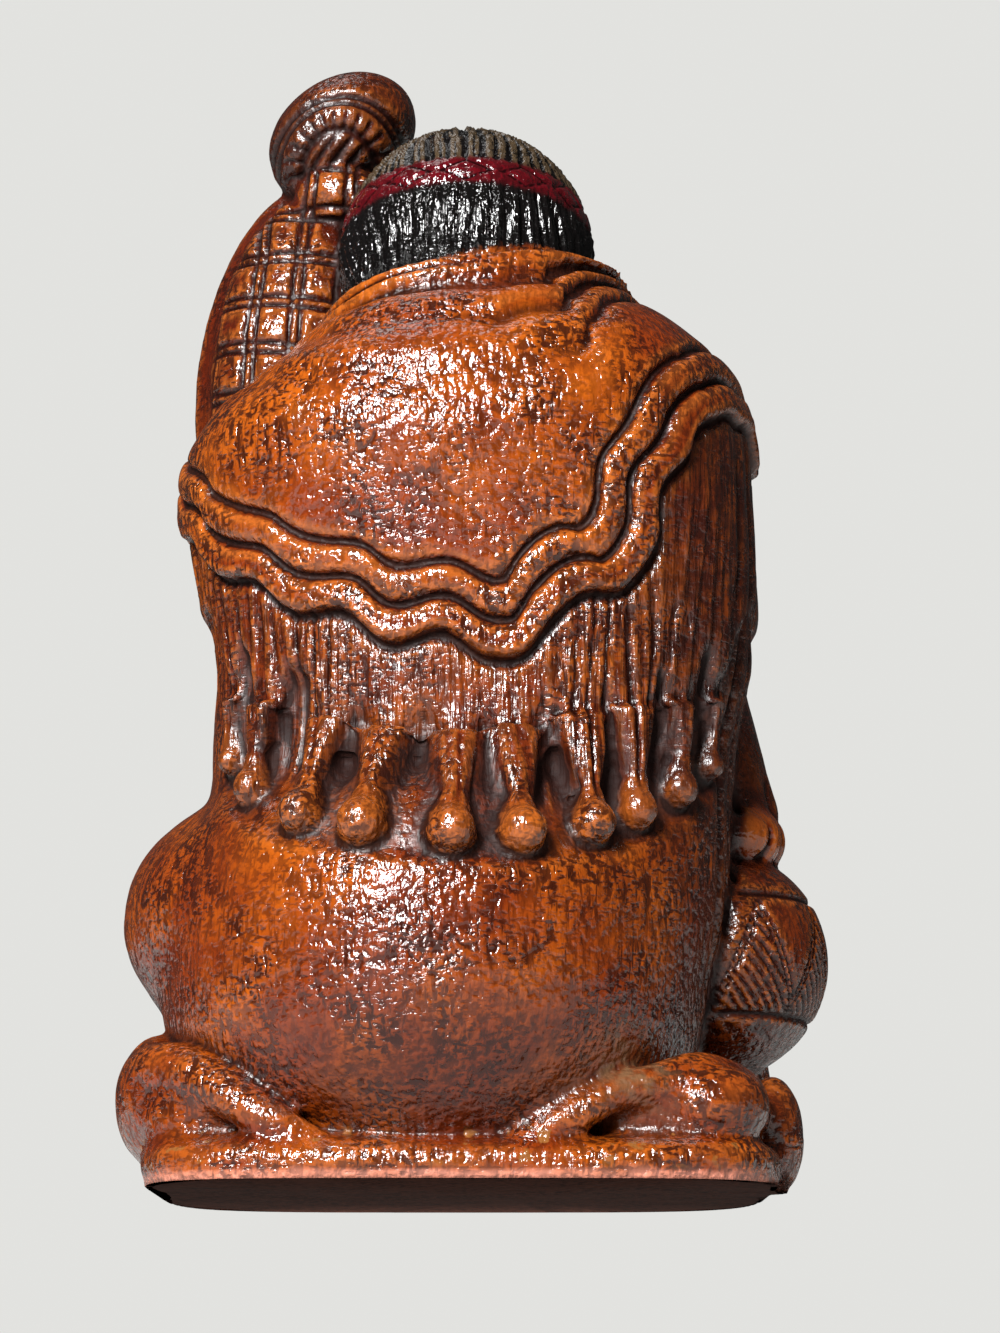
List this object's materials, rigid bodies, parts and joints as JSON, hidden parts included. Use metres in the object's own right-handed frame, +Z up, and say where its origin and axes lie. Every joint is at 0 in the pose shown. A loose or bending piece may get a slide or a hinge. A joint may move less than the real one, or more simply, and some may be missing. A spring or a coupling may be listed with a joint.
{
  "type": "resin mother and child figurine",
  "caption": "Cast resin ornament of a seated mother in a fringed shawl, with a swaddled child in a hooded carrier at her shoulder and a carved pot at her side.",
  "frame": {"origin": "on the flat underside, in the middle of the casting's outer box", "axes": "+Z up, the mother faces -Y, her left side is +X, and her back (the side in the picture) is +Y"},
  "size_m": [0.0674, 0.0644, 0.113],
  "materials": {
    "glazed_resin": "cast resin with a carved-wood look, orange-brown paint, dark antiquing glaze in the recesses and a semi-gloss lacquer; black-brown hair, crimson headband, greyish brown underside"
  },
  "bodies": {
    "root": {"mother_and_child_figurine": "glazed_resin"}
  },
  "joints": []
}
